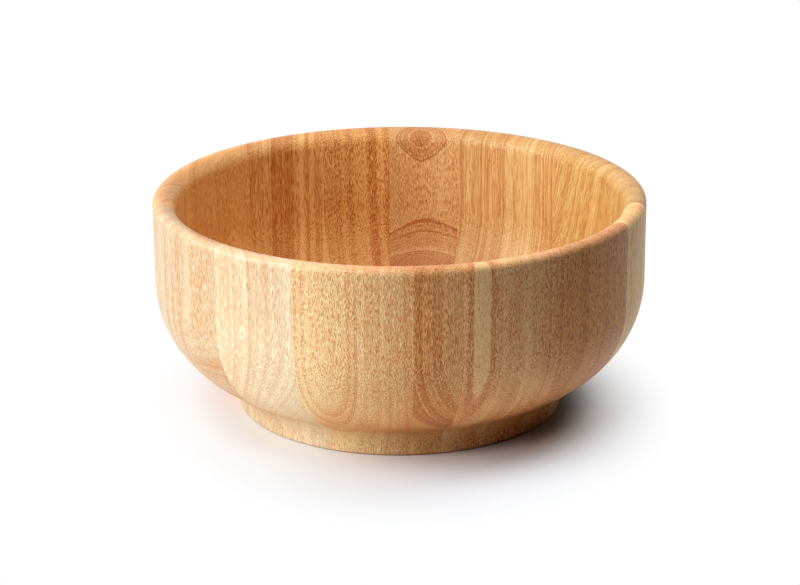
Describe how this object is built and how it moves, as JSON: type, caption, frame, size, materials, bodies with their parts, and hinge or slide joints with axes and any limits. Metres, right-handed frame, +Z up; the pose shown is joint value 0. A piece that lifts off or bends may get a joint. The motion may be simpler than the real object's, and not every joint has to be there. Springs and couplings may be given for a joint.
{
  "type": "salad bowl",
  "caption": "Round turned wooden salad bowl of upright glued staves, with a straight wall, rounded rim, curved belly and low foot ring around a let-in base.",
  "frame": {"origin": "centre of the foot ring, on the table", "axes": "+Z up along the bowl's axis; the picture looks along +Y"},
  "size_m": [0.25, 0.25, 0.1105],
  "materials": {
    "cream_wood": "satin clear food-safe oil or lacquer",
    "peach_wood": "satin clear food-safe oil or lacquer",
    "straw_wood": "satin clear food-safe oil or lacquer",
    "tan_wood": "satin clear food-safe oil or lacquer",
    "honey_wood": "satin clear food-safe oil or lacquer",
    "russet_wood": "satin clear food-safe oil or lacquer"
  },
  "bodies": {
    "root": {"stave_01": "honey_wood", "stave_02": "peach_wood", "stave_03": "peach_wood", "stave_04": "cream_wood", "stave_05": "tan_wood", "stave_06": "russet_wood", "stave_07": "tan_wood", "stave_08": "russet_wood", "stave_09": "straw_wood", "stave_10": "straw_wood", "stave_11": "straw_wood", "stave_12": "straw_wood", "stave_13": "tan_wood", "stave_14": "honey_wood", "stave_15": "russet_wood", "stave_16": "honey_wood", "base_board_1": "straw_wood", "base_board_2": "tan_wood", "base_board_3": "peach_wood", "base_board_4": "honey_wood", "base_board_5": "straw_wood"}
  },
  "joints": []
}
